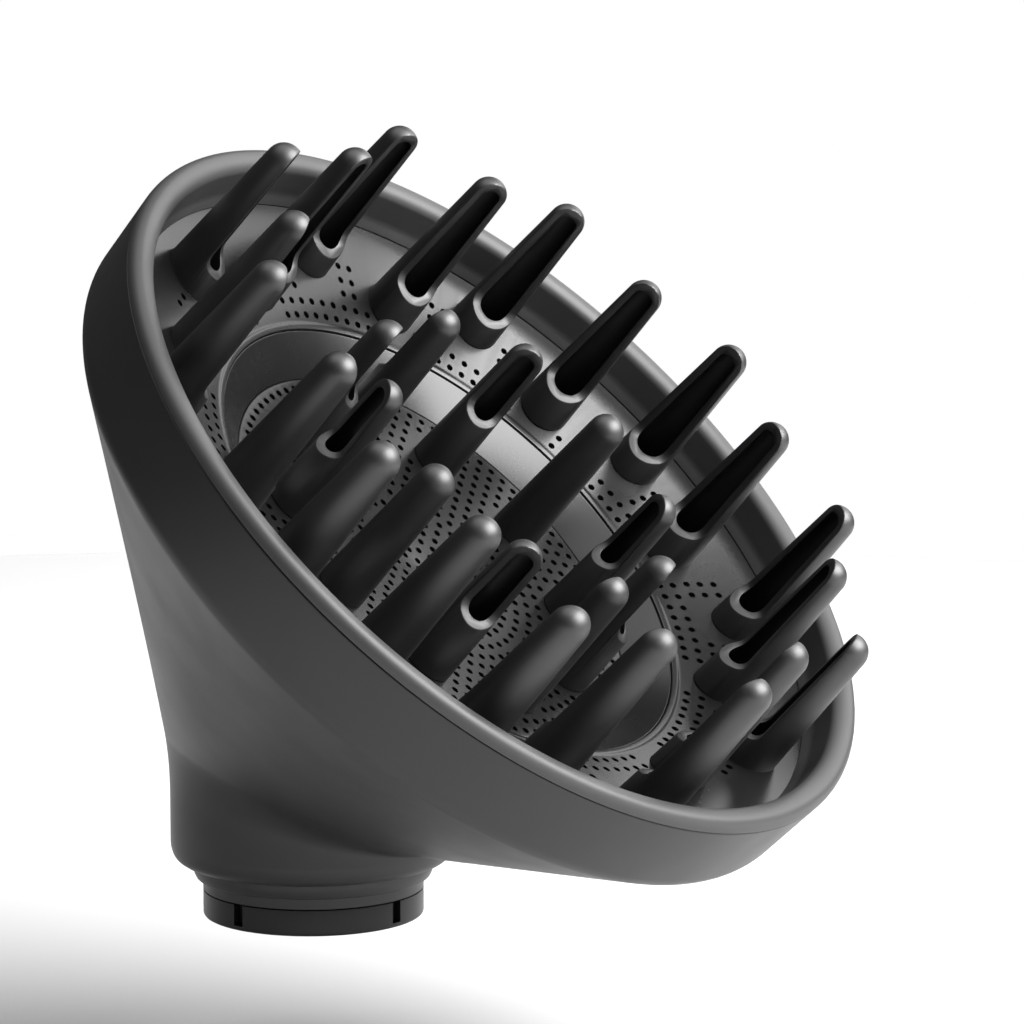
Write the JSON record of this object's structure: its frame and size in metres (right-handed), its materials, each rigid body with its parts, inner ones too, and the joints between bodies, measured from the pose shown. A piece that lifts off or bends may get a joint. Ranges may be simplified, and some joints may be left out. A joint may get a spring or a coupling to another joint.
{
  "type": "hair dryer diffuser",
  "caption": "Tilted round diffuser bowl on a stepped neck, with perforated floor plates, hollow slotted fingers and a plug-in connector for a straight styling wand",
  "frame": {"origin": "on the neck axis, in the plane of the foot of the shell's stepped shoulder, 1.6 mm above the end of the shell's spigot", "axes": "+Z along the neck axis towards the dish, +X the way the dish leans, +Y completes the right-handed frame"},
  "size_m": [0.0983, 0.122, 0.11],
  "materials": {
    "shell_grey": "fine satin, mid grey",
    "lip_grey": "satin, light catches the crown",
    "floor_grey": "matte, lighter grey",
    "finger_black": "semi-gloss, near black",
    "connector_grey": "satin, dark grey"
  },
  "bodies": {
    "root": {"outer_shell": "shell_grey", "wand_connector": "connector_grey", "front_lip_ring": "lip_grey", "floor_ring": "floor_grey", "bowl_ring": "floor_grey", "centre_grille": "floor_grey", "outer_finger_01": "finger_black", "outer_finger_02": "finger_black", "outer_finger_03": "finger_black", "outer_finger_04": "finger_black", "outer_finger_05": "finger_black", "outer_finger_06": "finger_black", "outer_finger_07": "finger_black", "outer_finger_08": "finger_black", "outer_finger_09": "finger_black", "outer_finger_10": "finger_black", "middle_finger_01": "finger_black", "middle_finger_02": "finger_black", "middle_finger_03": "finger_black", "middle_finger_04": "finger_black", "middle_finger_05": "finger_black", "middle_finger_06": "finger_black", "middle_finger_07": "finger_black", "middle_finger_08": "finger_black", "middle_finger_09": "finger_black", "middle_finger_10": "finger_black", "inner_finger_01": "finger_black", "inner_finger_02": "finger_black", "inner_finger_03": "finger_black", "inner_finger_04": "finger_black", "inner_finger_05": "finger_black", "inner_finger_06": "finger_black", "inner_finger_07": "finger_black", "inner_finger_08": "finger_black", "inner_finger_09": "finger_black", "inner_finger_10": "finger_black"}
  },
  "joints": []
}
